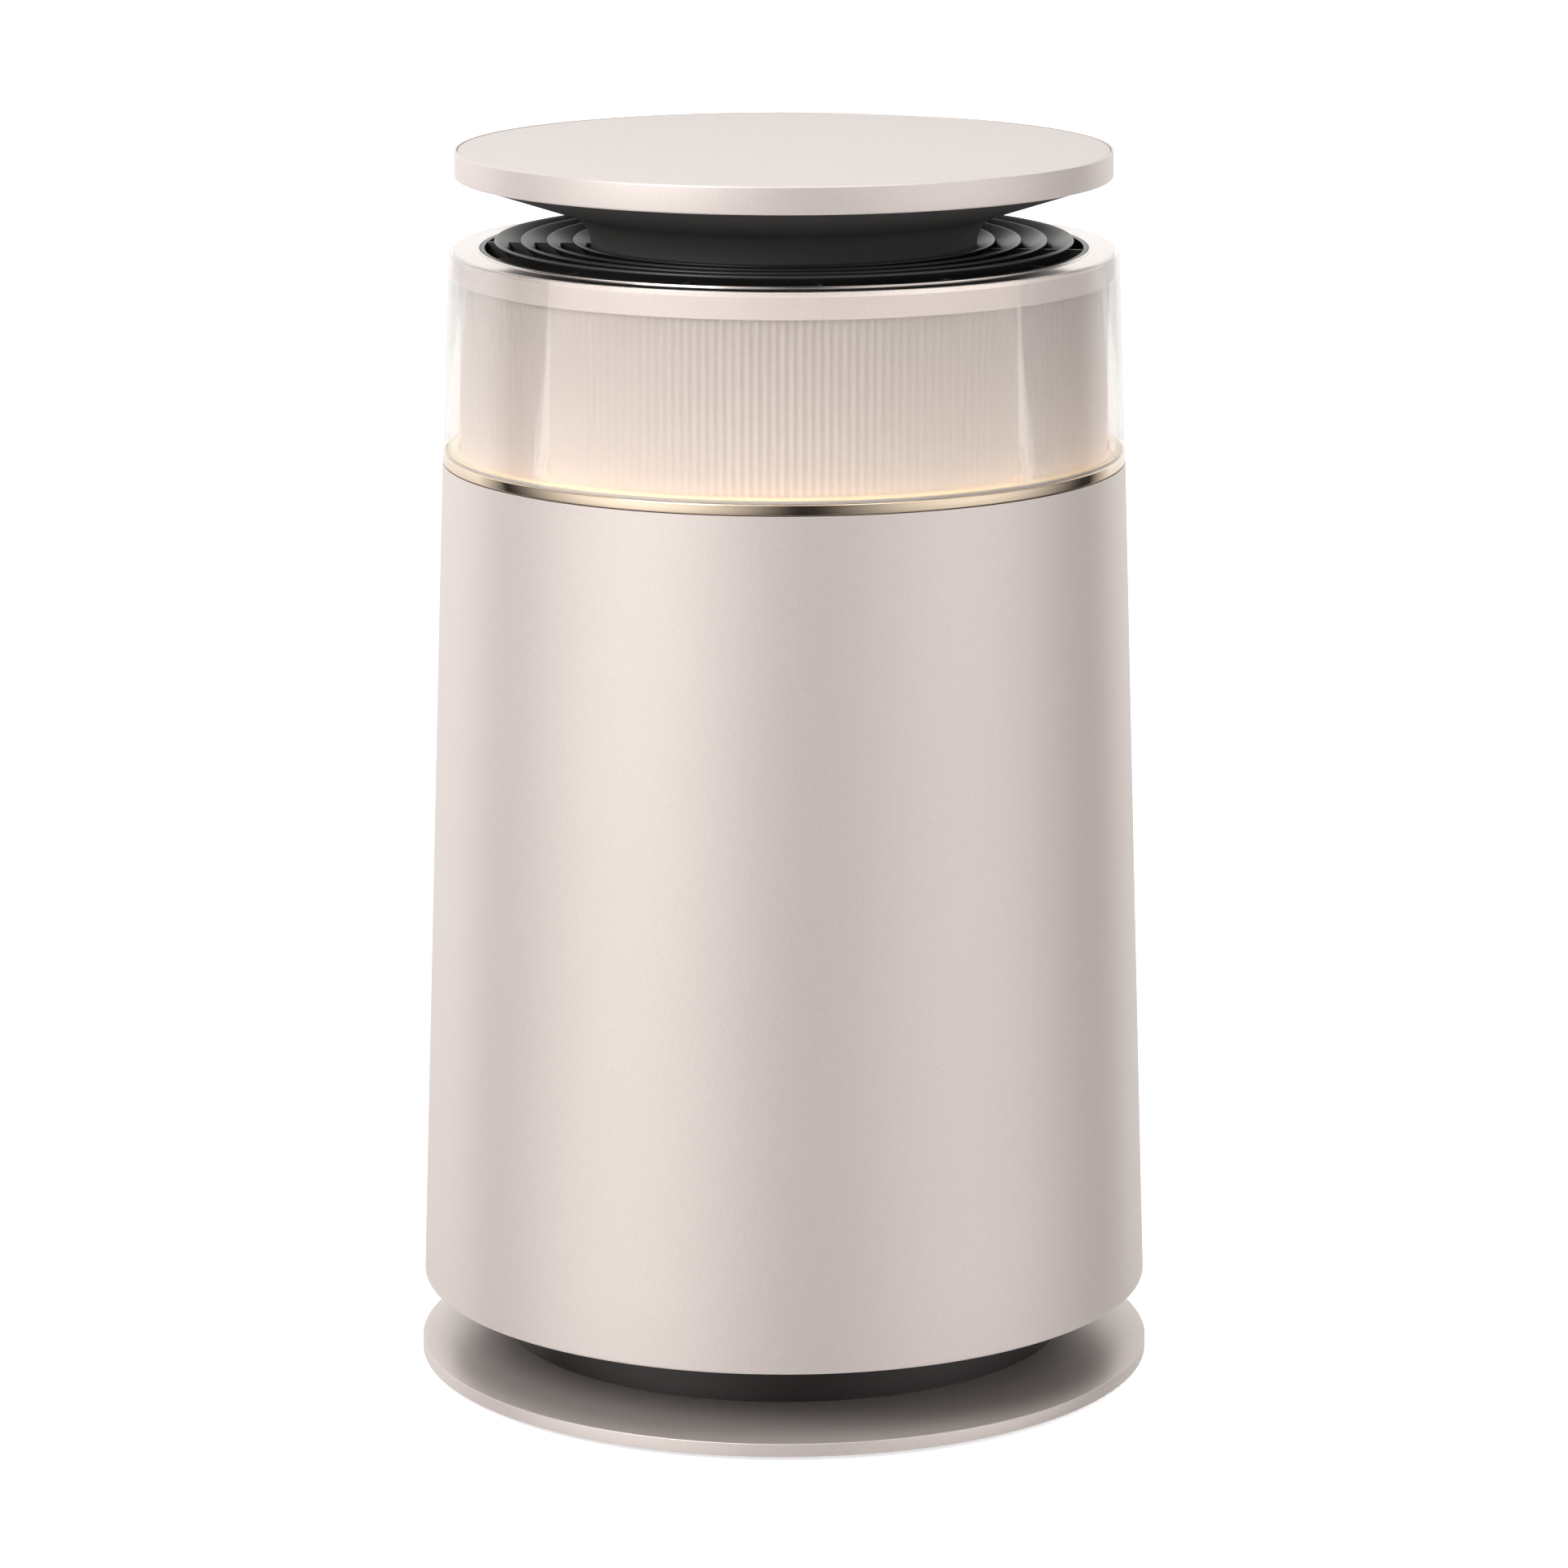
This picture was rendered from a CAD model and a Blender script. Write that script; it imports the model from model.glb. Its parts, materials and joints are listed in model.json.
# %% [markdown]
# # An air purifier that doubles as a side table
#
# The real object is a conical painted body on a dark, set-back foot. A clear ring with a lit,
# fluted lining sits on the body, and a black louvred outlet hides under a round table top.
# Almost every visible piece is a body of revolution, so the lesson is about turning profiles
# on a lathe, rounding their edges, and giving each one a finish that catches the light as
# paint, polished metal, clear acrylic or fine cloth would.
#
# The engineering model gives every place and size. It is loaded first, and nothing moves it.

import json
import math

import bmesh
import bpy
from mathutils import Matrix, Vector


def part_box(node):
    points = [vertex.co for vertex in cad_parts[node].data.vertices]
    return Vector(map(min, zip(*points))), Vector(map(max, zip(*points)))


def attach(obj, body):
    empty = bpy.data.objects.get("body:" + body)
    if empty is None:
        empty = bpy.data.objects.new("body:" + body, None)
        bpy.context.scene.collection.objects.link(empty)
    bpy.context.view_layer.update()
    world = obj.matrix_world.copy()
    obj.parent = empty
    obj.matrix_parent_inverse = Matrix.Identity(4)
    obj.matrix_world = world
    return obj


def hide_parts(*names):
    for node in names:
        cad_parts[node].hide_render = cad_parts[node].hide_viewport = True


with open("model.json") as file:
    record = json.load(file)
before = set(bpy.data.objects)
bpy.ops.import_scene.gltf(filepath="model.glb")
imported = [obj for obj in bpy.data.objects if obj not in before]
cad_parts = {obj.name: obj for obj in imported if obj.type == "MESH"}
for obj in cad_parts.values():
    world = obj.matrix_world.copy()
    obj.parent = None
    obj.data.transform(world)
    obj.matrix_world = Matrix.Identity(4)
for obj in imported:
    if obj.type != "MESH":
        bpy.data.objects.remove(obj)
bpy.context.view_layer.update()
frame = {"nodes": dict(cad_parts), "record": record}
nodes = frame["nodes"]
body_of_node = {
    node: body
    for body, members in frame["record"]["behaviour"]["bodies"].items()
    for node in members
}
slot_of_node = {part["node"]: part["material_slot"] for part in frame["record"]["subparts"]}
MM = 0.001

# %% [markdown]
# ## Writing shader maths as plain arithmetic
#
# A finish is a small network of nodes. Clicking them together is slow to read back later, so
# two small classes let the script say the same thing in words. `Signal` wraps one output, and
# adding or multiplying signals adds Math nodes. `Finish` wraps a material and makes any other
# node from its type, its settings and its inputs.

# %% A signal that can be added, multiplied and compared
class Signal:
    """One output in a finish. Arithmetic on it adds Math nodes."""

    def __init__(self, finish, socket):
        self.finish = finish
        self.socket = socket

    def maths(self, operation, first, second):
        return self.finish.node(
            "ShaderNodeMath", {"operation": operation}, {0: first, 1: second}
        )

    def __add__(self, other):
        return self.maths("ADD", self, other)

    def __rsub__(self, other):
        return self.maths("SUBTRACT", other, self)

    def __mul__(self, other):
        return self.maths("MULTIPLY", self, other)

    def __pow__(self, other):
        return self.maths("POWER", self, other)

    def __gt__(self, other):
        return self.maths("GREATER_THAN", self, other)

    __radd__ = __add__
    __rmul__ = __mul__


print("signals are ready")


# %% A finish is a material with short words for its nodes
class Finish:
    """A material with one Principled shader; constants are set on the shader's own sockets."""

    def __init__(self, name, **constants):
        self.material = bpy.data.materials.new(name)
        self.material.use_nodes = True
        self.tree = self.material.node_tree
        self.shader = self.tree.nodes["Principled BSDF"]
        for socket, value in constants.items():
            self.shader.inputs[socket.replace("_", " ")].default_value = value
        self.place = self.node("ShaderNodeTexCoord", output="Object")

    def node(self, kind, settings=None, sockets=None, output=0):
        """Adds a node: settings first, then the values or signals of its sockets."""
        made = self.tree.nodes.new(kind)
        for name, value in (settings or {}).items():
            setattr(made, name, value)
        for name, value in (sockets or {}).items():
            if isinstance(value, Signal):
                self.tree.links.new(value.socket, made.inputs[name])
            else:
                made.inputs[name].default_value = value
        return Signal(self, made.outputs[output])

    def feed(self, socket, signal):
        """Links a signal to one of the shader's sockets."""
        self.tree.links.new(signal.socket, self.shader.inputs[socket])

    def noise(self, scale, detail=2.0, place=None):
        """Soft random variation between 0 and 1; scale is in features per metre."""
        sockets = {"Vector": place or self.place, "Scale": scale, "Detail": detail}
        return self.node("ShaderNodeTexNoise", sockets=sockets, output="Fac")

    def cells(self, scale, feature="F1", place=None):
        """Distance to the nearest of many random points, for grain and granules."""
        sockets = {"Vector": place or self.place, "Scale": scale}
        settings = {"feature": feature}
        return self.node("ShaderNodeTexVoronoi", settings, sockets, "Distance")

    def stretched(self, x, y, z):
        """The place on the surface, with each axis scaled."""
        sockets = {"Vector": self.place, "Scale": (x, y, z)}
        return self.node("ShaderNodeMapping", sockets=sockets)

    def along(self, axis):
        """The place along one axis, in metres."""
        return self.node("ShaderNodeSeparateXYZ", sockets={0: self.place}, output=axis)

    def blend(self, amount, first, second):
        """Mixes two colours."""
        made = self.tree.nodes.new("ShaderNodeMix")
        made.data_type = "RGBA"
        colours = [socket for socket in made.inputs if socket.type == "RGBA"]
        self.tree.links.new(amount.socket, made.inputs[0])
        colours[0].default_value = (*first, 1.0)
        colours[1].default_value = (*second, 1.0)
        return Signal(self, next(out for out in made.outputs if out.type == "RGBA"))

    def span(self, signal, low, high, to_low=0.0, to_high=1.0):
        """Rescales a signal from one range to another, and clamps it."""
        sockets = {0: signal, 1: low, 2: high, 3: to_low, 4: to_high}
        return self.node("ShaderNodeMapRange", {"clamp": True}, sockets)

    def bump(self, height, depth, strength=1.0):
        """Raises the surface by a height signal; depth is in metres."""
        sockets = {"Height": height, "Distance": depth, "Strength": strength}
        self.feed("Normal", self.node("ShaderNodeBump", sockets=sockets, output="Normal"))


print("finishes are ready")

# %% [markdown]
# ## Champagne paint
#
# The body, the foot's cover, the band and the table's ring share one paint: a warm, pale
# metallic with very fine flakes under a thin satin coat. Flakes are smaller than a millimetre,
# so they show as a faint sparkle and a soft spread of the highlight, not as spots. Two noises
# do that: a very fine one for the flakes and a broad, weak one for the unevenness of spraying.


# %% Champagne paint
def champagne_paint():
    paint = Finish(
        "champagne_paint", Metallic=0.5, Coat_Weight=0.1, Coat_Roughness=0.22, IOR=1.5
    )
    flakes = paint.cells(2400)
    clouds = paint.noise(6.0, 3.0)
    tone = paint.span(flakes, 0.15, 0.75) * 0.7 + clouds * 0.3
    paint.feed("Base Color", paint.blend(tone, (0.63, 0.550, 0.522), (0.74, 0.667, 0.642)))
    paint.feed("Roughness", paint.span(flakes, 0.0, 1.0, 0.34, 0.44))
    paint.bump(paint.noise(1800, 2.0), 0.03 * MM, 0.6)
    return paint.material


print("made", champagne_paint.__name__)

# %% [markdown]
# ## Black and neutral plastics
#
# The plinth and the parts behind the outlet are moulded in black plastic with a satin texture.
# The fan parts are grey and the cartridge is white. A moulded surface has a very shallow,
# irregular spark-eroded texture, and its gloss varies a little. One function makes them all,
# and later the louvres' own, slightly lighter black.


# %% Moulded plastics
def moulded(name, dark, light, roughness):
    plastic = Finish(name, Metallic=0.0, IOR=1.49)
    texture = plastic.noise(3200, 3.0)
    wear = plastic.noise(14, 4.0)
    plastic.feed("Base Color", plastic.blend(wear * 0.6 + texture * 0.4, dark, light))
    plastic.feed("Roughness", plastic.span(wear, 0.3, 0.7, roughness - 0.05, roughness + 0.06))
    plastic.bump(texture, 0.04 * MM, 0.5)
    return plastic.material


print("made", moulded.__name__)

# %% [markdown]
# ## Polished metal
#
# A thin ring of rose-gold coloured metal separates the body from the clear wall. It is polished
# like jewellery, so it is nearly a mirror: what it shows is the room. A faint turning mark round
# the ring, much longer than it is high, keeps it from looking computed.


# %% Polished and machined metals
def metal(name, dark, light, roughness, marks=0.02):
    alloy = Finish(name, Metallic=1.0)
    turning = alloy.noise(30, 4.0, alloy.stretched(1, 1, 90))
    alloy.feed("Base Color", alloy.blend(turning, dark, light))
    alloy.feed("Roughness", alloy.span(turning, 0.25, 0.75, roughness, roughness * 1.6))
    alloy.bump(turning, marks * MM, 0.3)
    return alloy.material


print("made", metal.__name__)

# %% [markdown]
# ## Clear acrylic and its lit lining
#
# The wall above the metal ring is clear acrylic. A glass-like material bends the light at the
# wall's edges, but taken at full strength it turns the thin sides dark. Half of it is therefore
# plainly see-through, and it bends light a little less than real acrylic does.
#
# Behind it stands a fluted lining of frosted acrylic. Lights hidden at its foot wash up it, so
# it is brightest just above the metal ring and fades to the plain frosted colour at the top.


# %% Clear acrylic
def clear_acrylic():
    acrylic = Finish(
        "clear_acrylic", Transmission_Weight=1.0, IOR=1.36, Base_Color=(1.0, 0.975, 0.955, 1.0),
        Alpha=0.5
    )
    handling = acrylic.noise(9, 5.0)
    acrylic.feed("Roughness", acrylic.span(handling, 0.45, 0.8, 0.0, 0.03))
    return acrylic.material


print("made", clear_acrylic.__name__)


# %% Frosted lining, lit from its foot
FLUTES = 240


def frosted_lining():
    low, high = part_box("ribbed_diffuser")
    lining = Finish("frosted_lining", IOR=1.45, Emission_Strength=1.0, Coat_Weight=0.1)
    height = lining.span(lining.along("Z"), low.z, high.z)
    frost = lining.noise(900, 2.0)
    turn = lining.node(
        "ShaderNodeMath", {"operation": "ARCTAN2"}, {0: lining.along("Y"), 1: lining.along("X")}
    )
    flute = lining.node("ShaderNodeMath", {"operation": "COSINE"}, {0: turn * FLUTES})
    shade = height * 0.72 + lining.span(flute, -1.0, 1.0, 0.28, 0.0) + frost * 0.05
    lining.feed("Base Color", lining.blend(shade, (0.65, 0.568, 0.525), (0.49, 0.442, 0.420)))
    wash = (1 - height) ** 2.2 * 0.15 + (1 - height) ** 14 * 0.34 + 0.01
    lining.feed("Emission Color", lining.blend(wash, (0, 0, 0), (1.0, 0.80, 0.62)))
    lining.feed("Roughness", lining.span(frost, 0.3, 0.7, 0.42, 0.55))
    return lining.material


print("made", frosted_lining.__name__)

# %% [markdown]
# ## The covering of the table top
#
# The top is covered with a pale, very fine grained material, close to a coated cloth. Its grain
# is made of tiny rounded cells with valleys between them, which is what a Voronoi pattern gives
# when the distance to the cell's edge is used as a height.


# %% Fine grained covering
def grained_covering():
    cover = Finish("grained_covering", IOR=1.45, Sheen_Weight=0.12, Sheen_Roughness=0.5)
    grain = cover.cells(1150, "DISTANCE_TO_EDGE")
    valleys = cover.span(grain, 0.0, 0.28)
    mottling = cover.noise(260, 3.0)
    tone = valleys * 0.55 + mottling * 0.45
    cover.feed("Base Color", cover.blend(tone, (0.53, 0.482, 0.462), (0.69, 0.648, 0.626)))
    cover.feed("Roughness", cover.span(mottling, 0.3, 0.7, 0.55, 0.7))
    cover.bump(valleys + mottling * 0.3, 0.09 * MM, 0.7)
    return cover.material


print("made", grained_covering.__name__)

# %% [markdown]
# ## Finishes that are seen when the back cover is off
#
# The cartridge has an outer net, a carbon layer, pleated paper and a woven pull strap. Each has
# a pattern that a person would recognise from a hand's distance: crossing threads for the net
# and the strap, granules for the carbon, and fibres for the paper.


# %% Woven net and strap
def woven(name, dark, light, threads, roughness):
    cloth = Finish(name, IOR=1.5, Sheen_Weight=0.2)
    thread = 2 * math.pi * threads
    across = cloth.node("ShaderNodeMath", {"operation": "SINE"}, {0: cloth.along("X") * thread})
    along = cloth.node("ShaderNodeMath", {"operation": "SINE"}, {0: cloth.along("Z") * thread})
    weave = cloth.span(across * along, -1.0, 1.0)
    cloth.feed("Base Color", cloth.blend(weave, dark, light))
    cloth.feed("Roughness", cloth.span(weave, 0.0, 1.0, roughness - 0.08, roughness + 0.08))
    cloth.bump(weave, 0.25 * MM, 0.8)
    return cloth.material


print("made", woven.__name__)


# %% Carbon granules
def carbon_granules():
    carbon = Finish("carbon_granules", IOR=1.6)
    granules = carbon.cells(520)
    carbon.feed("Base Color", carbon.blend(granules, (0.035, 0.035, 0.037), (0.008, 0.008, 0.009)))
    carbon.feed("Roughness", carbon.span(granules, 0.0, 1.0, 0.45, 0.85))
    carbon.bump(1 - granules, 0.8 * MM, 1.0)
    return carbon.material


print("made", carbon_granules.__name__)


# %% Fibrous paper, board and foam
def fibrous(name, dark, light, scale, depth, roughness=0.85):
    sheet = Finish(name, IOR=1.4)
    fibres = sheet.noise(scale, 6.0, sheet.stretched(1.0, 1.0, 0.25))
    specks = sheet.cells(scale * 2)
    sheet.feed("Base Color", sheet.blend(fibres * 0.75 + specks * 0.25, dark, light))
    sheet.feed("Roughness", sheet.span(fibres, 0.3, 0.7, roughness - 0.08, roughness + 0.08))
    sheet.bump(fibres + specks * 0.3, depth * MM, 0.8)
    return sheet.material


print("made", fibrous.__name__)


# %% Printed circuit board
def printed_board():
    board = Finish("printed_board", IOR=1.5, Coat_Weight=0.3)
    tracks = board.node(
        "ShaderNodeTexBrick",
        {"offset": 0.35},
        {"Vector": board.place, "Scale": 60.0, "Mortar Size": 0.06, "Mortar Smooth": 0.1},
        "Fac",
    )
    pads = board.cells(170) > 0.5
    copper = board.span(tracks * 0.7 + pads * 0.2, 0.0, 1.0)
    board.feed("Base Color", board.blend(copper, (0.012, 0.085, 0.04), (0.05, 0.24, 0.11)))
    board.feed("Roughness", board.span(tracks, 0.0, 1.0, 0.28, 0.42))
    board.bump(tracks, 0.05 * MM, 0.6)
    return board.material


print("made", printed_board.__name__)


# %% Warm lights
def warm_light():
    light = Finish("warm_light", Emission_Strength=0.40, Roughness=0.4)
    spread = light.noise(700, 1.0)
    light.feed("Emission Color", light.blend(spread, (1.0, 0.70, 0.42), (1.0, 0.82, 0.6)))
    light.feed("Base Color", light.blend(spread, (0.9, 0.7, 0.4), (1.0, 0.86, 0.6)))
    return light.material


print("made", warm_light.__name__)

# %% [markdown]
# ## One finish for each slot
#
# The record names a finish slot for every piece. The table below answers each name with a
# material, so a piece rarely has to be painted by hand. The strip that carries the lights is an
# exception: its board is white, so that it doesn't tint the light.

# %% Make the finishes
finishes = {
    "satin_champagne": champagne_paint(),
    "black_plastic": moulded("black_plastic", (0.016, 0.0145, 0.014), (0.030, 0.027, 0.026), 0.36),
    "grey_plastic": moulded("grey_plastic", (0.10, 0.10, 0.10), (0.16, 0.16, 0.155), 0.5),
    "white_plastic": moulded("white_plastic", (0.62, 0.61, 0.59), (0.76, 0.75, 0.73), 0.45),
    "gloss_rim": metal("gloss_rim", (0.74, 0.68, 0.65), (0.80, 0.74, 0.71), 0.09, 0.004),
    "polished_gold": metal("polished_gold", (0.83, 0.67, 0.51), (0.91, 0.77, 0.62), 0.04, 0.004),
    "clear_acrylic": clear_acrylic(),
    "frosted_acrylic": frosted_lining(),
    "table_covering": grained_covering(),
    "table_board": fibrous("table_board", (0.34, 0.25, 0.16), (0.52, 0.41, 0.28), 140, 0.3),
    "foot_rubber": fibrous("foot_rubber", (0.012, 0.012, 0.012), (0.03, 0.03, 0.03), 900, 0.1, 0.7),
    "soft_grey_rubber": fibrous("grey_foam", (0.05, 0.05, 0.05), (0.12, 0.12, 0.12), 1400, 0.3),
    "steel": metal("zinc_plate", (0.42, 0.42, 0.43), (0.62, 0.62, 0.61), 0.28),
    "magnet_steel": metal("nickel_plate", (0.58, 0.57, 0.55), (0.72, 0.71, 0.68), 0.12),
    "copper_winding": metal("copper_wire", (0.52, 0.20, 0.09), (0.78, 0.36, 0.2), 0.25, 0.2),
    "circuit_board": printed_board(),
    "component_black": moulded(
        "component_black", (0.015, 0.015, 0.016), (0.035, 0.035, 0.036), 0.45
    ),
    "led_warm": warm_light(),
    "filter_paper": fibrous("filter_paper", (0.66, 0.64, 0.58), (0.80, 0.78, 0.73), 420, 0.15),
    "carbon_fill": carbon_granules(),
    "filter_netting": woven("filter_netting", (0.05, 0.052, 0.055), (0.30, 0.31, 0.32), 700, 0.6),
    "strap_fabric": woven("strap_fabric", (0.015, 0.015, 0.017), (0.09, 0.09, 0.095), 550, 0.7),
    "brass_pin": metal("brass_pin", (0.60, 0.44, 0.20), (0.76, 0.60, 0.32), 0.2),
}
for name, node in nodes.items():
    node.data.materials.clear()
    node.data.materials.append(finishes[slot_of_node[name]])
nodes["led_strip"].data.materials[0] = finishes["white_plastic"]
print(len(finishes), "finishes on", len(nodes), "pieces")

# %% [markdown]
# ## Smooth copies of the engineering pieces
#
# An engineering model comes as loose flat triangles. On a curved, glossy wall every one of them
# would show as a facet in the highlights. A copy is made of each piece that has curves: its
# doubled corners are merged, its faces are shaded smoothly, and only edges that turn by more
# than a set angle stay sharp. The copy then stands in for the original.

# %% Copy, merge and shade
SHARP_ANGLE = math.radians(28)


def shade(mesh):
    """Smooth faces, with sharp edges where the surface turns quickly."""
    for face in mesh.faces:
        face.smooth = True
    for edge in mesh.edges:
        flat_enough = len(edge.link_faces) == 2 and edge.calc_face_angle(0) < SHARP_ANGLE
        edge.smooth = flat_enough


def place_piece(name, mesh, node, *more_nodes):
    """Turns a bmesh into an object that stands for nodes, rides with them, wears their finish."""
    shade(mesh)
    data = bpy.data.meshes.new(name)
    mesh.to_mesh(data)
    mesh.free()
    data.materials.append(finishes[slot_of_node[node]])
    piece = bpy.data.objects.new(name, data)
    bpy.context.scene.collection.objects.link(piece)
    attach(piece, body_of_node[node])
    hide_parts(node, *more_nodes)
    return piece


def smooth_copy(node):
    mesh = bmesh.new()
    mesh.from_mesh(nodes[node].data)
    bmesh.ops.remove_doubles(mesh, verts=mesh.verts, dist=0.002 * MM)
    return place_piece(node + "_smooth", mesh, node)


smoothed = [
    "outer_shell", "back_cover", "base_cover", "plinth", "intake_grille", "outlet_duct",
    "chassis", "filter_cage", "filter_bottom_cap", "filter_top_cap", "filter_net",
    "filter_carbon", "filter_pull_strap", "fan_deck", "fan_housing", "impeller", "rubber_feet",
    "filter_gasket", "base_bottom_plate", "power_inlet", "inlet_pins", "cover_magnets",
    "cover_keepers", "inlet_guard", "vane_ring",
]
for node in smoothed:
    smooth_copy(node)
print(len(smoothed), "smooth copies")

# %% [markdown]
# ## A lathe
#
# The rings at the top of the purifier are close to the eye and glossy, so they are turned
# afresh instead of copied: an outline is drawn in one plane and spun about the upright axis.
# A corner that a hand would feel as rounded gets a real rounding of a few segments, because the
# thin highlight along an edge is what makes a piece look moulded or machined.

# %% Turning and rounding
TURNS = 288


def lathe(outline, turns=TURNS):
    """Spins a closed outline of (radius, level) corners about the upright axis."""
    mesh = bmesh.new()
    corners = [mesh.verts.new((radius, 0, level)) for radius, level in outline]
    edges = [mesh.edges.new(pair) for pair in zip(corners, corners[1:] + corners[:1])]
    bmesh.ops.spin(
        mesh, geom=corners + edges, cent=(0, 0, 0), axis=(0, 0, 1),
        angle=math.tau, steps=turns, use_merge=True, use_duplicate=False,
    )
    bmesh.ops.remove_doubles(mesh, verts=mesh.verts, dist=0.002 * MM)
    bmesh.ops.dissolve_degenerate(mesh, edges=mesh.edges, dist=0.0005 * MM)
    bmesh.ops.recalc_face_normals(mesh, faces=mesh.faces)
    return mesh


def round_ring(mesh, radius, level, rounding, segments=4):
    """Rounds the circular edge at one radius and level."""
    def there(vertex):
        off_radius = abs(math.hypot(vertex.co.x, vertex.co.y) - radius)
        return off_radius < 0.05 * MM and abs(vertex.co.z - level) < 0.05 * MM

    ring = [edge for edge in mesh.edges if all(there(vertex) for vertex in edge.verts)]
    bmesh.ops.bevel(
        mesh, geom=ring, offset=rounding, offset_type="OFFSET", affect="EDGES",
        segments=segments, profile=0.5, material=-1, clamp_overlap=True,
    )


def arc(centre, radius, start, stop, steps=10):
    """Points on an arc, with angles in degrees from the outward direction."""
    points = []
    for step in range(steps + 1):
        angle = math.radians(start + (stop - start) * step / steps)
        points.append((centre[0] + radius * math.cos(angle), centre[1] + radius * math.sin(angle)))
    return points


print("the lathe turns in", TURNS, "steps")

# %% [markdown]
# ## The polished ring
#
# It is a flat band, a few millimetres high, whose two edges are softened. Its face leans back by
# the same amount as the wall above it.

# %% Turn the polished ring
low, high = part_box("trim_ring")
RING_SHELF = 11.0 * MM
RING_LEAN = 0.17 * MM
RING_EDGE = 0.55 * MM
mesh = lathe([
    (high.x - RING_SHELF, low.z),
    (high.x, low.z),
    (high.x - RING_LEAN, high.z),
    (high.x - RING_SHELF, high.z),
])
round_ring(mesh, high.x, low.z, RING_EDGE, 6)
round_ring(mesh, high.x - RING_LEAN, high.z, RING_EDGE, 6)
place_piece("polished_ring", mesh, "trim_ring")
print("ring radius", round(high.x / MM, 1), "mm")

# %% [markdown]
# ## The clear wall
#
# The wall leans inward as it rises. Its foot has a step that leaves a fine dark line above the
# metal, and its top edge is fire-polished round, which gives the white line round the rim.

# %% Turn the clear wall
low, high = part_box("light_ring_shell")
WALL = 2.4 * MM
SEAM = 0.3 * MM
rim_low, rim_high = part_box("top_rim")
band_low, band_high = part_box("top_band")
WALL_TO_BAND = 0.25 * MM
wall_top_radius = band_high.x + WALL_TO_BAND + WALL
mesh = lathe([
    (high.x - WALL, low.z),
    (high.x - WALL / 2, low.z),
    (high.x - WALL / 2, low.z + SEAM),
    (high.x, low.z + SEAM),
    (wall_top_radius, high.z),
    (wall_top_radius - WALL, high.z),
])
round_ring(mesh, wall_top_radius, high.z, 0.8 * MM, 6)
round_ring(mesh, wall_top_radius - WALL, high.z, 0.3 * MM, 3)
round_ring(mesh, high.x, low.z + SEAM, 0.3 * MM, 3)
place_piece("clear_wall", mesh, "light_ring_shell")
print("clear wall from", round(high.x / MM, 1), "to", round(wall_top_radius / MM, 1), "mm")

# %% [markdown]
# ## The light guide
#
# The row of small lights would be seen as dots through a clear wall, so the real ring hides them
# under a frosted guide that joins them into one even line of light.

# %% Turn the light guide
low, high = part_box("led_chips")
GUIDE_WIDTH = 2.6 * MM
mesh = lathe([
    (high.x - GUIDE_WIDTH, low.z),
    (high.x, low.z),
    (high.x, high.z),
    (high.x - GUIDE_WIDTH, high.z),
])
round_ring(mesh, high.x, high.z, 0.4 * MM)
place_piece("light_guide", mesh, "led_chips")
print("light guide radius", round(high.x / MM, 1), "mm")

# %% [markdown]
# ## The fluted lining
#
# Two circles of points are drawn, and the outer one is pulled in and out along its round to
# make the flutes. The ring between the circles is then drawn upwards, as the real lining is
# extruded. A row of flutes this fine is what turns the light at its foot into upright lines.

# %% Draw the fluted lining
STEPS_PER_FLUTE = 8
FLUTE_DEPTH, LINING_WALL = 0.7 * MM, 1.8 * MM
low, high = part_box("ribbed_diffuser")
mesh = bmesh.new()
outline = bmesh.ops.create_circle(mesh, segments=FLUTES * STEPS_PER_FLUTE, radius=high.x)
for vertex in outline["verts"]:
    angle = math.atan2(vertex.co.y, vertex.co.x)
    hollow = FLUTE_DEPTH * (1 - math.cos(FLUTES * angle)) / 2
    vertex.co *= 1 - hollow / high.x
bmesh.ops.create_circle(mesh, segments=FLUTES * STEPS_PER_FLUTE, radius=high.x - LINING_WALL)
bmesh.ops.bridge_loops(mesh, edges=mesh.edges[:])
bmesh.ops.translate(mesh, vec=(0, 0, low.z), verts=mesh.verts)
drawn = bmesh.ops.extrude_face_region(mesh, geom=mesh.faces[:])["geom"]
top = [item for item in drawn if isinstance(item, bmesh.types.BMVert)]
bmesh.ops.translate(mesh, vec=(0, 0, high.z - low.z), verts=top)
bmesh.ops.recalc_face_normals(mesh, faces=mesh.faces)
open_edges = sum(len(edge.link_faces) != 2 for edge in mesh.edges)
place_piece("fluted_lining", mesh, "ribbed_diffuser")
print(FLUTES, "flutes;", open_edges, "open edges")

# %% [markdown]
# ## The painted band and the rim
#
# Behind the top of the clear wall stands a painted band, and the rim lies on it like a lid. The
# rim is highly polished: what is seen in it is mostly the dark underside of the table.

# %% Turn the band and the rim
BAND_WALL = 1.8 * MM
mesh = lathe([
    (band_high.x - BAND_WALL, band_low.z),
    (band_high.x, band_low.z),
    (band_high.x, band_high.z),
    (band_high.x - BAND_WALL, band_high.z),
])
round_ring(mesh, band_high.x, band_low.z, 0.5 * MM)
place_piece("painted_band", mesh, "top_band")

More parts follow.
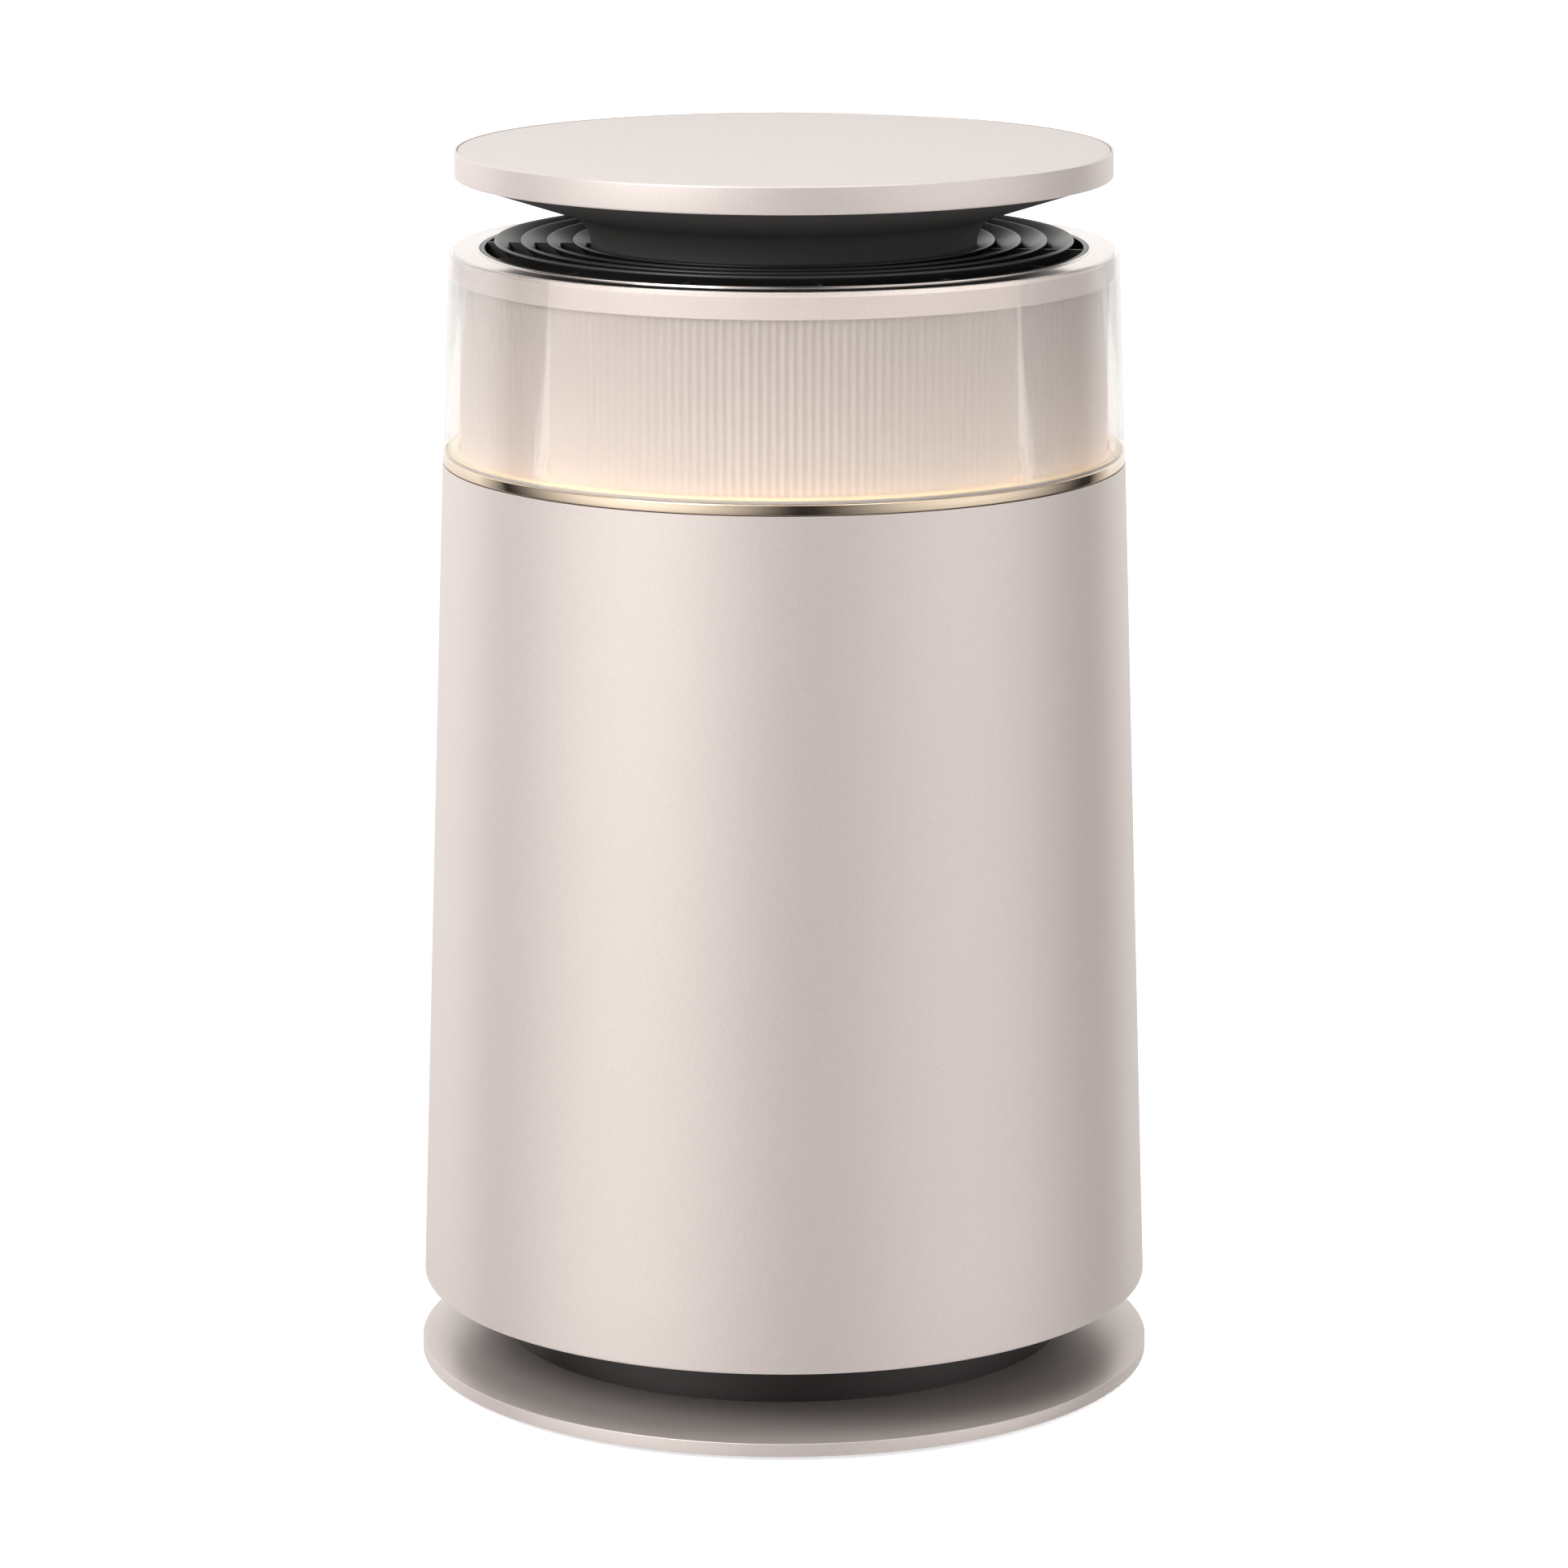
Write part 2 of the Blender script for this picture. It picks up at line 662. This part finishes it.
duct_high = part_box("outlet_duct")[1]
DUCT_WALL = 1.8 * MM
LIP_WIDTH = 1.2 * MM
LIP_HEIGHT = 0.8 * MM
rim_inner = duct_high.x - DUCT_WALL
rim_face = rim_high.z - LIP_HEIGHT
mesh = lathe([
    (rim_inner, rim_low.z),
    (rim_high.x, rim_low.z),
    (rim_high.x, rim_face),
    (rim_inner + LIP_WIDTH, rim_face),
    (rim_inner + LIP_WIDTH, rim_high.z),
    (rim_inner, rim_high.z),
])
round_ring(mesh, rim_high.x, rim_face, 0.35 * MM)
round_ring(mesh, rim_inner + LIP_WIDTH, rim_high.z, 0.4 * MM)
round_ring(mesh, rim_inner, rim_high.z, 0.4 * MM)
round_ring(mesh, rim_inner + LIP_WIDTH, rim_face, 0.3 * MM)
place_piece("polished_rim", mesh, "top_rim")
print("rim from", round(rim_inner / MM, 1), "to", round(rim_high.x / MM, 1), "mm")

# %% [markdown]
# ## The outlet louvres
#
# Four rings lean outward to throw the air sideways. Each is a thin curved blade: upright at its
# foot and leaning at its top. They hang on flat spokes between a hub and an outer frame. Each
# blade's tip is rounded, so a fine line of light runs round it.

# %% Turn the louvres
def join(whole, part):
    """Adds one bmesh to another and frees it."""
    data = bpy.data.meshes.new("part")
    part.to_mesh(data)
    part.free()
    whole.from_mesh(data)
    bpy.data.meshes.remove(data)


low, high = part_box("outlet_grille")
LOUVRES, OUTER_BLADE, BLADE_PITCH = 4, 129.0 * MM, 11.7 * MM
BLADE_RADII = [OUTER_BLADE - BLADE_PITCH * ring for ring in range(LOUVRES)]
BLADE_REACH, BLADE_DEPTH, BLADE_WALL = 9.5 * MM, 17.0 * MM, 1.5 * MM
bend = (BLADE_REACH**2 + BLADE_DEPTH**2) / (2 * BLADE_REACH)
lean = math.degrees(math.asin(BLADE_DEPTH / bend))
louvres = bmesh.new()
for top_radius in BLADE_RADII:
    foot = top_radius - BLADE_REACH
    centre = (foot + bend, high.z - BLADE_DEPTH)
    outer_face = arc(centre, bend - BLADE_WALL, 180, 180 - lean, 12)
    inner_face = arc(centre, bend, 180 - lean, 180, 12)
    blade = lathe(outer_face + inner_face)
    for tip in (outer_face[-1], inner_face[0]):
        round_ring(blade, tip[0], tip[1], 0.55 * MM, 4)
    join(louvres, blade)
print("four louvres lean", round(lean), "degrees")

# %% [markdown]
# The spokes are thin upright plates. One is shaped from a cube, its top edges are rounded, and
# it is spun into place as many times as there are spokes. The hub and the frame are turned.

# %% Add the spokes, the hub and the frame
SPOKES = 14
SPOKE_WIDTH, SPOKE_DROP = 2.0 * MM, 4.0 * MM
FIRST_SPOKE = math.radians(270 + 6.9)
spoke_top = high.z - SPOKE_DROP
neck_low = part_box("deflector_neck")[0]
neck_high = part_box("deflector_cone")[1]
NECK_RADIUS = 86.3 * MM
FRAME_WALL, HUB_WALL = 2.0 * MM, 4.6 * MM
hub_inner = NECK_RADIUS - HUB_WALL
spoke_inner, spoke_outer = NECK_RADIUS + 0.2 * MM, high.x - FRAME_WALL / 2
for index in range(SPOKES):
    spoke = bmesh.new()
    size = Vector((spoke_outer - spoke_inner, SPOKE_WIDTH, spoke_top - low.z))
    middle = Vector(((spoke_outer + spoke_inner) / 2, 0, (spoke_top + low.z) / 2))
    bmesh.ops.create_cube(spoke, size=1.0)
    bmesh.ops.scale(spoke, vec=size, verts=spoke.verts)
    bmesh.ops.translate(spoke, vec=middle, verts=spoke.verts)
    top_edges = [
        edge for edge in spoke.edges
        if all(abs(vertex.co.z - spoke_top) < 0.01 * MM for vertex in edge.verts)
    ]
    bmesh.ops.bevel(
        spoke, geom=top_edges, offset=0.4 * MM, affect="EDGES",
        segments=3, profile=0.5, material=-1,
    )
    turn = Matrix.Rotation(FIRST_SPOKE + math.tau * index / SPOKES, 3, "Z")
    bmesh.ops.rotate(spoke, cent=(0, 0, 0), matrix=turn, verts=spoke.verts)
    join(louvres, spoke)
for inner, outer, top in (
    (hub_inner, NECK_RADIUS, neck_low.z),
    (high.x - FRAME_WALL, high.x, spoke_top),
):
    join(louvres, lathe([(inner, low.z), (outer, low.z), (outer, top), (inner, top)]))
grille = place_piece("louvres", louvres, "outlet_grille")
grille.data.materials[0] = moulded(
    "louvre_plastic", (0.034, 0.033, 0.033), (0.056, 0.054, 0.053), 0.3
)
print(SPOKES, "spokes")

# %% [markdown]
# ## The trumpet-shaped neck
#
# One continuous curve carries the air outward: a straight foot, a tight bend and a long shallow
# cone that ends under the table's edge. Its outline is an arc between two straight lines.


# %% Matt plastic for the neck
def neck_plastic(foot, top):
    """Black plastic, greyer towards its foot, where more light reaches it between the louvres."""
    plastic = Finish("neck_plastic", Metallic=0.0, IOR=1.49)
    texture = plastic.noise(3200, 3.0)
    height = plastic.span(plastic.along("Z"), foot, top)
    tone = height * 0.8 + texture * 0.2
    plastic.feed("Base Color", plastic.blend(tone, (0.165, 0.162, 0.160), (0.020, 0.019, 0.018)))
    plastic.feed("Roughness", plastic.span(texture, 0.3, 0.7, 0.5, 0.6))
    plastic.bump(texture, 0.04 * MM, 0.5)
    return plastic.material


print("made", neck_plastic.__name__)


# %% Turn the neck
NECK_WALL, NECK_BEND, NECK_SLOPE = 1.7 * MM, 16.0 * MM, 18.0
FLANGE, FLANGE_WALL = 14.0 * MM, 2.0 * MM
turned = 90 - NECK_SLOPE
run = NECK_BEND * (1 - math.cos(math.radians(turned)))
rise = NECK_BEND * math.sin(math.radians(turned))
tangent = math.tan(math.radians(NECK_SLOPE))
start = neck_high.z - rise - (neck_high.x - NECK_RADIUS - run) * tangent
centre = (NECK_RADIUS + NECK_BEND, start)
inner_wall = NECK_RADIUS - NECK_WALL
slant_wall = NECK_WALL / math.cos(math.radians(NECK_SLOPE))
level_part = neck_high.x - (slant_wall + FLANGE_WALL) / tangent
outside = arc(centre, NECK_BEND, 180, 180 - turned, 20)
inside = arc(centre, NECK_BEND + NECK_WALL, 180 - turned, 180, 20)
mesh = lathe(
    [(inner_wall - FLANGE, neck_low.z), (NECK_RADIUS, neck_low.z)]
    + outside
    + [(neck_high.x, neck_high.z), (level_part - FLANGE, neck_high.z)]
    + [(level_part - FLANGE, neck_high.z - FLANGE_WALL), (level_part, neck_high.z - FLANGE_WALL)]
    + inside
    + [(inner_wall, neck_low.z + FLANGE_WALL), (inner_wall - FLANGE, neck_low.z + FLANGE_WALL)]
)
trumpet = place_piece("trumpet_neck", mesh, "deflector_neck", "deflector_cone")
trumpet.data.materials[0] = neck_plastic(neck_low.z, neck_high.z)
print("the neck flares from", round(NECK_RADIUS / MM, 1), "to", round(neck_high.x / MM, 1), "mm")

# %% [markdown]
# ## The table top
#
# A painted ring carries a covered board. The covering lies a hair below the ring, and its edge
# rolls down into the joint, so a thin shadow and a thin highlight run round the top.

# %% Turn the table's ring and its covering
low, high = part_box("tabletop_ring")
pad_low, pad_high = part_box("tabletop_pad")
LIP = 1.1 * MM
RING_WIDTH = 7.0 * MM
LEDGE = 6.0 * MM
lip_inner = high.x - LIP
ring_inner = high.x - RING_WIDTH
ledge_top = pad_low.z - RING_WIDTH
mesh = lathe([
    (ring_inner - LEDGE, low.z),
    (high.x, low.z),
    (high.x, high.z),
    (lip_inner, high.z),
    (lip_inner, pad_low.z),
    (ring_inner, pad_low.z),
    (ring_inner, ledge_top),
    (ring_inner - LEDGE, ledge_top),
])
round_ring(mesh, high.x, high.z, 0.8 * MM, 6)
round_ring(mesh, high.x, low.z, 0.9 * MM, 6)
round_ring(mesh, lip_inner, high.z, 0.25 * MM, 3)
place_piece("table_ring", mesh, "tabletop_ring")

COVER_EDGE = 0.9 * MM
mesh = lathe([
    (0, pad_low.z),
    (pad_high.x, pad_low.z),
    (pad_high.x, pad_high.z),
    (pad_high.x * 0.66, pad_high.z),
    (pad_high.x * 0.33, pad_high.z),
    (0, pad_high.z),
])
round_ring(mesh, pad_high.x, pad_high.z, COVER_EDGE, 6)
place_piece("table_cover", mesh, "tabletop_pad")
print("table top", round(2 * high.x / MM), "mm across")

# %% [markdown]
# ## Floor and light
#
# The object stands on a pale seamless floor. What polished metal and clear acrylic look like is
# decided by what surrounds them, so the studio is drawn as a world with two tall soft panels,
# one at each side of the front, and a broad pale wall behind. Between them it is dark, and that
# gives the polished ring its slow change from cream to bronze. Panels and wall fade towards the
# ground like a skirting, so the body darkens slowly to its foot. The floor is hidden from
# reflections, or a large pale floor would wash the dark part out.

# %% Pale floor
FLOOR_SIZE = 30.0
floor_mesh = bmesh.new()
bmesh.ops.create_grid(floor_mesh, x_segments=1, y_segments=1, size=FLOOR_SIZE)
floor_data = bpy.data.meshes.new("floor")
floor_mesh.to_mesh(floor_data)
floor_mesh.free()
floor = bpy.data.objects.new("floor", floor_data)
bpy.context.scene.collection.objects.link(floor)
floor.visible_glossy = False
pale = Finish("pale_floor", Emission_Strength=0.68, Emission_Color=(1, 1, 1, 1), Roughness=0.9)
pale.feed("Base Color", pale.blend(pale.noise(2.0), (0.86, 0.86, 0.86), (0.88, 0.88, 0.88)))
floor_data.materials.append(pale.material)
print("floor laid")


# %% The studio's walls, as a world
class Studio(Finish):
    """The same words for the world's nodes; its place is the direction that is looked in."""

    def __init__(self, name):
        world = bpy.data.worlds.new(name)
        world.use_nodes = True
        bpy.context.scene.world = world
        self.tree = world.node_tree
        self.shader = self.tree.nodes["Background"]
        looked_in = self.node("ShaderNodeTexCoord", output="Generated")
        flat = {"operation": "MULTIPLY"}
        level = self.node("ShaderNodeVectorMath", flat, {0: looked_in, 1: (1, 1, 0)})
        self.level = self.node("ShaderNodeVectorMath", {"operation": "NORMALIZE"}, {0: level})
        self.rise = self.node("ShaderNodeSeparateXYZ", sockets={0: looked_in}, output="Z")

    def facing(self, bearing):
        """Cosine of the angle from a bearing, in degrees to the right of the front."""
        turn = math.radians(bearing)
        middle = (math.sin(turn), -math.cos(turn), 0)
        dot = {"operation": "DOT_PRODUCT"}
        return self.node("ShaderNodeVectorMath", dot, {0: self.level, 1: middle}, "Value")

    def panel(self, bearing, half_width=55):
        """A panel that is brightest in its middle and fades slowly to its sides."""
        edge = math.cos(math.radians(half_width))
        return self.span(self.facing(bearing), edge, 1.0) ** 1.6

    def wall(self, bearing, half_width=54, softness=7):
        """A broad, even wall with a quick fade at its ends."""
        dark = math.cos(math.radians(half_width + softness))
        lit = math.cos(math.radians(half_width - softness))
        return self.span(self.facing(bearing), dark, lit)


studio = Studio("studio")
light = studio.panel(-50) * 1.3 + studio.panel(64) * 1.0 + studio.wall(-171, 56, 9) * 1.05 + 0.04
skirting = studio.span(studio.rise, -0.42, -0.08, 0.45, 1.0)
studio.feed("Strength", light * skirting)
studio.shader.inputs["Color"].default_value = (1.0, 0.985, 0.965, 1.0)
print("two panels and a wall")


# %% Soft lights from above
def soft_light(name, place, width, height, power, target=(0, 0, 0.28)):
    light = bpy.data.lights.new(name, "AREA")
    light.shape = "RECTANGLE"
    light.size, light.size_y = width, height
    light.energy = power
    lamp = bpy.data.objects.new(name, light)
    lamp.location = place
    lamp.rotation_euler = (Vector(target) - Vector(place)).to_track_quat("-Z", "Y").to_euler()
    bpy.context.scene.collection.objects.link(lamp)
    return lamp


soft_light("top", (0.0, -0.3, 2.4), 2.0, 1.6, 15)
soft_light("upper_left", (-0.9, -1.0, 1.25), 0.8, 0.8, 9)
bpy.context.scene.view_settings.view_transform = "Standard"
print("two lights above")

# %% [markdown]
# ## Camera
#
# A long lens from a little above the table keeps the cone's sides nearly straight.

# %% Place the camera
camera_data = bpy.data.cameras.new("camera")
camera_data.lens = 135.4
camera_data.sensor_width = 36.0
camera = bpy.data.objects.new("camera", camera_data)
camera.location = (0.0, -2.629, 0.8557)
camera.rotation_euler = (math.radians(77.385), 0.0, 0.0)
bpy.context.scene.collection.objects.link(camera)
bpy.context.scene.camera = camera
print("camera at", tuple(camera.location))
